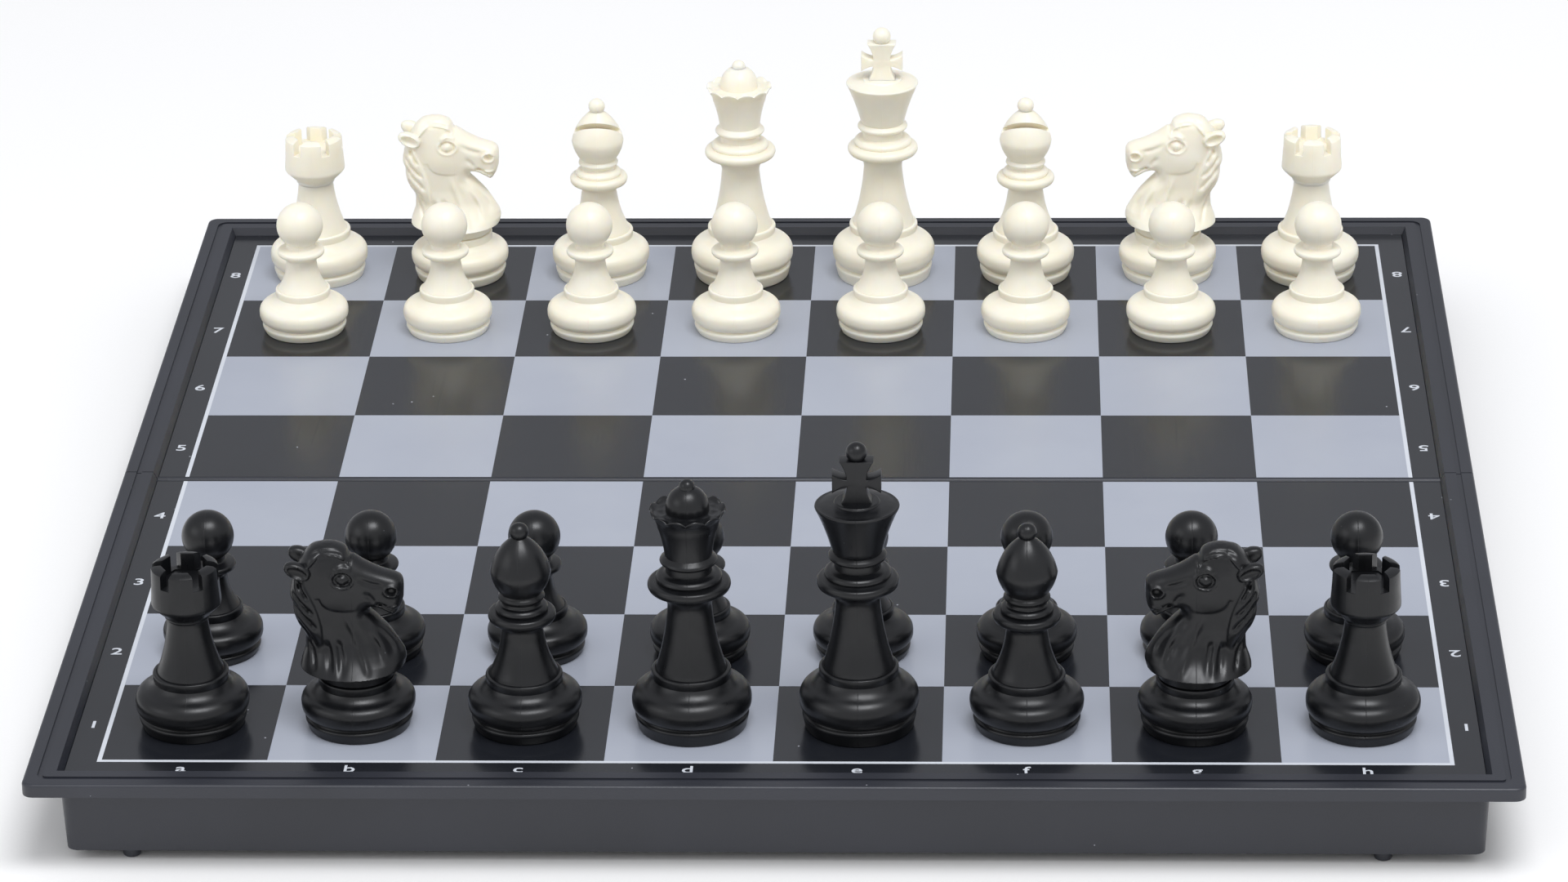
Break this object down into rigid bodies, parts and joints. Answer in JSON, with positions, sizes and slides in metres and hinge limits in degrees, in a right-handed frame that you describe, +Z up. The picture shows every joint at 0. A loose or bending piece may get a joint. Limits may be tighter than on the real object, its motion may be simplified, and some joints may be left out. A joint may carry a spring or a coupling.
{
  "type": "folding magnetic chess set",
  "caption": "Folding travel chess board in two hinged halves with a steel-backed printed field and a full set of magnetic turned men standing on it.",
  "frame": {"origin": "on the table, under the middle of the open board", "axes": "+X along the ranks from file a to file h, +Y from the black men's side to the white men's side, +Z up"},
  "size_m": [0.3172, 0.3216, 0.0864],
  "materials": {
    "case_plastic": "moulded ABS, fine spark-eroded texture, charcoal black",
    "plate_steel": "cold-rolled tinned steel",
    "printed_sheet": "satin screen-printed vinyl, charcoal and blue-grey squares",
    "pin_steel": "drawn steel wire",
    "black_men_plastic": "moulded polystyrene, soft gloss, black",
    "white_men_plastic": "moulded polystyrene, soft gloss, ivory"
  },
  "bodies": {
    "front_half": {"front_tray": "case_plastic", "front_steel_plate": "plate_steel", "front_playing_sheet": "printed_sheet", "front_hinge_pin": "pin_steel", "front_snap_catch": "case_plastic"},
    "back_half": {"back_tray": "case_plastic", "back_steel_plate": "plate_steel", "back_playing_sheet": "printed_sheet", "back_hinge_pin": "pin_steel", "back_snap_catch": "case_plastic"},
    "man_black_rook_a": {"black_rook_a": "black_men_plastic"},
    "man_black_knight_b": {"black_knight_b": "black_men_plastic"},
    "man_black_bishop_c": {"black_bishop_c": "black_men_plastic"},
    "man_black_queen": {"black_queen": "black_men_plastic"},
    "man_black_king": {"black_king": "black_men_plastic"},
    "man_black_bishop_f": {"black_bishop_f": "black_men_plastic"},
    "man_black_knight_g": {"black_knight_g": "black_men_plastic"},
    "man_black_rook_h": {"black_rook_h": "black_men_plastic"},
    "man_black_pawn_a": {"black_pawn_a": "black_men_plastic"},
    "man_black_pawn_b": {"black_pawn_b": "black_men_plastic"},
    "man_black_pawn_c": {"black_pawn_c": "black_men_plastic"},
    "man_black_pawn_d": {"black_pawn_d": "black_men_plastic"},
    "man_black_pawn_e": {"black_pawn_e": "black_men_plastic"},
    "man_black_pawn_f": {"black_pawn_f": "black_men_plastic"},
    "man_black_pawn_g": {"black_pawn_g": "black_men_plastic"},
    "man_black_pawn_h": {"black_pawn_h": "black_men_plastic"},
    "man_white_rook_a": {"white_rook_a": "white_men_plastic"},
    "man_white_knight_b": {"white_knight_b": "white_men_plastic"},
    "man_white_bishop_c": {"white_bishop_c": "white_men_plastic"},
    "man_white_queen": {"white_queen": "white_men_plastic"},
    "man_white_king": {"white_king": "white_men_plastic"},
    "man_white_bishop_f": {"white_bishop_f": "white_men_plastic"},
    "man_white_knight_g": {"white_knight_g": "white_men_plastic"},
    "man_white_rook_h": {"white_rook_h": "white_men_plastic"},
    "man_white_pawn_a": {"white_pawn_a": "white_men_plastic"},
    "man_white_pawn_b": {"white_pawn_b": "white_men_plastic"},
    "man_white_pawn_c": {"white_pawn_c": "white_men_plastic"},
    "man_white_pawn_d": {"white_pawn_d": "white_men_plastic"},
    "man_white_pawn_e": {"white_pawn_e": "white_men_plastic"},
    "man_white_pawn_f": {"white_pawn_f": "white_men_plastic"},
    "man_white_pawn_g": {"white_pawn_g": "white_men_plastic"},
    "man_white_pawn_h": {"white_pawn_h": "white_men_plastic"}
  },
  "joints": [
    {"name": "board_fold", "type": "hinge", "parent": "front_half", "child": "back_half", "pos_m": [0, 0, 0.0025], "axis": [-1, 0, 0], "range_deg": [0, 180]},
    {"name": "lift_black_rook_a", "type": "slide", "parent": "front_half", "child": "man_black_rook_a", "axis": [0, 0, 1], "range_m": [0, 0.08]},
    {"name": "lift_black_knight_b", "type": "slide", "parent": "front_half", "child": "man_black_knight_b", "axis": [0, 0, 1], "range_m": [0, 0.08]},
    {"name": "lift_black_bishop_c", "type": "slide", "parent": "front_half", "child": "man_black_bishop_c", "axis": [0, 0, 1], "range_m": [0, 0.08]},
    {"name": "lift_black_queen", "type": "slide", "parent": "front_half", "child": "man_black_queen", "axis": [0, 0, 1], "range_m": [0, 0.08]},
    {"name": "lift_black_king", "type": "slide", "parent": "front_half", "child": "man_black_king", "axis": [0, 0, 1], "range_m": [0, 0.08]},
    {"name": "lift_black_bishop_f", "type": "slide", "parent": "front_half", "child": "man_black_bishop_f", "axis": [0, 0, 1], "range_m": [0, 0.08]},
    {"name": "lift_black_knight_g", "type": "slide", "parent": "front_half", "child": "man_black_knight_g", "axis": [0, 0, 1], "range_m": [0, 0.08]},
    {"name": "lift_black_rook_h", "type": "slide", "parent": "front_half", "child": "man_black_rook_h", "axis": [0, 0, 1], "range_m": [0, 0.08]},
    {"name": "lift_black_pawn_a", "type": "slide", "parent": "front_half", "child": "man_black_pawn_a", "axis": [0, 0, 1], "range_m": [0, 0.08]},
    {"name": "lift_black_pawn_b", "type": "slide", "parent": "front_half", "child": "man_black_pawn_b", "axis": [0, 0, 1], "range_m": [0, 0.08]},
    {"name": "lift_black_pawn_c", "type": "slide", "parent": "front_half", "child": "man_black_pawn_c", "axis": [0, 0, 1], "range_m": [0, 0.08]},
    {"name": "lift_black_pawn_d", "type": "slide", "parent": "front_half", "child": "man_black_pawn_d", "axis": [0, 0, 1], "range_m": [0, 0.08]},
    {"name": "lift_black_pawn_e", "type": "slide", "parent": "front_half", "child": "man_black_pawn_e", "axis": [0, 0, 1], "range_m": [0, 0.08]},
    {"name": "lift_black_pawn_f", "type": "slide", "parent": "front_half", "child": "man_black_pawn_f", "axis": [0, 0, 1], "range_m": [0, 0.08]},
    {"name": "lift_black_pawn_g", "type": "slide", "parent": "front_half", "child": "man_black_pawn_g", "axis": [0, 0, 1], "range_m": [0, 0.08]},
    {"name": "lift_black_pawn_h", "type": "slide", "parent": "front_half", "child": "man_black_pawn_h", "axis": [0, 0, 1], "range_m": [0, 0.08]},
    {"name": "lift_white_rook_a", "type": "slide", "parent": "back_half", "child": "man_white_rook_a", "axis": [0, 0, 1], "range_m": [0, 0.08]},
    {"name": "lift_white_knight_b", "type": "slide", "parent": "back_half", "child": "man_white_knight_b", "axis": [0, 0, 1], "range_m": [0, 0.08]},
    {"name": "lift_white_bishop_c", "type": "slide", "parent": "back_half", "child": "man_white_bishop_c", "axis": [0, 0, 1], "range_m": [0, 0.08]},
    {"name": "lift_white_queen", "type": "slide", "parent": "back_half", "child": "man_white_queen", "axis": [0, 0, 1], "range_m": [0, 0.08]},
    {"name": "lift_white_king", "type": "slide", "parent": "back_half", "child": "man_white_king", "axis": [0, 0, 1], "range_m": [0, 0.08]},
    {"name": "lift_white_bishop_f", "type": "slide", "parent": "back_half", "child": "man_white_bishop_f", "axis": [0, 0, 1], "range_m": [0, 0.08]},
    {"name": "lift_white_knight_g", "type": "slide", "parent": "back_half", "child": "man_white_knight_g", "axis": [0, 0, 1], "range_m": [0, 0.08]},
    {"name": "lift_white_rook_h", "type": "slide", "parent": "back_half", "child": "man_white_rook_h", "axis": [0, 0, 1], "range_m": [0, 0.08]},
    {"name": "lift_white_pawn_a", "type": "slide", "parent": "back_half", "child": "man_white_pawn_a", "axis": [0, 0, 1], "range_m": [0, 0.08]},
    {"name": "lift_white_pawn_b", "type": "slide", "parent": "back_half", "child": "man_white_pawn_b", "axis": [0, 0, 1], "range_m": [0, 0.08]},
    {"name": "lift_white_pawn_c", "type": "slide", "parent": "back_half", "child": "man_white_pawn_c", "axis": [0, 0, 1], "range_m": [0, 0.08]},
    {"name": "lift_white_pawn_d", "type": "slide", "parent": "back_half", "child": "man_white_pawn_d", "axis": [0, 0, 1], "range_m": [0, 0.08]},
    {"name": "lift_white_pawn_e", "type": "slide", "parent": "back_half", "child": "man_white_pawn_e", "axis": [0, 0, 1], "range_m": [0, 0.08]},
    {"name": "lift_white_pawn_f", "type": "slide", "parent": "back_half", "child": "man_white_pawn_f", "axis": [0, 0, 1], "range_m": [0, 0.08]},
    {"name": "lift_white_pawn_g", "type": "slide", "parent": "back_half", "child": "man_white_pawn_g", "axis": [0, 0, 1], "range_m": [0, 0.08]},
    {"name": "lift_white_pawn_h", "type": "slide", "parent": "back_half", "child": "man_white_pawn_h", "axis": [0, 0, 1], "range_m": [0, 0.08]}
  ]
}
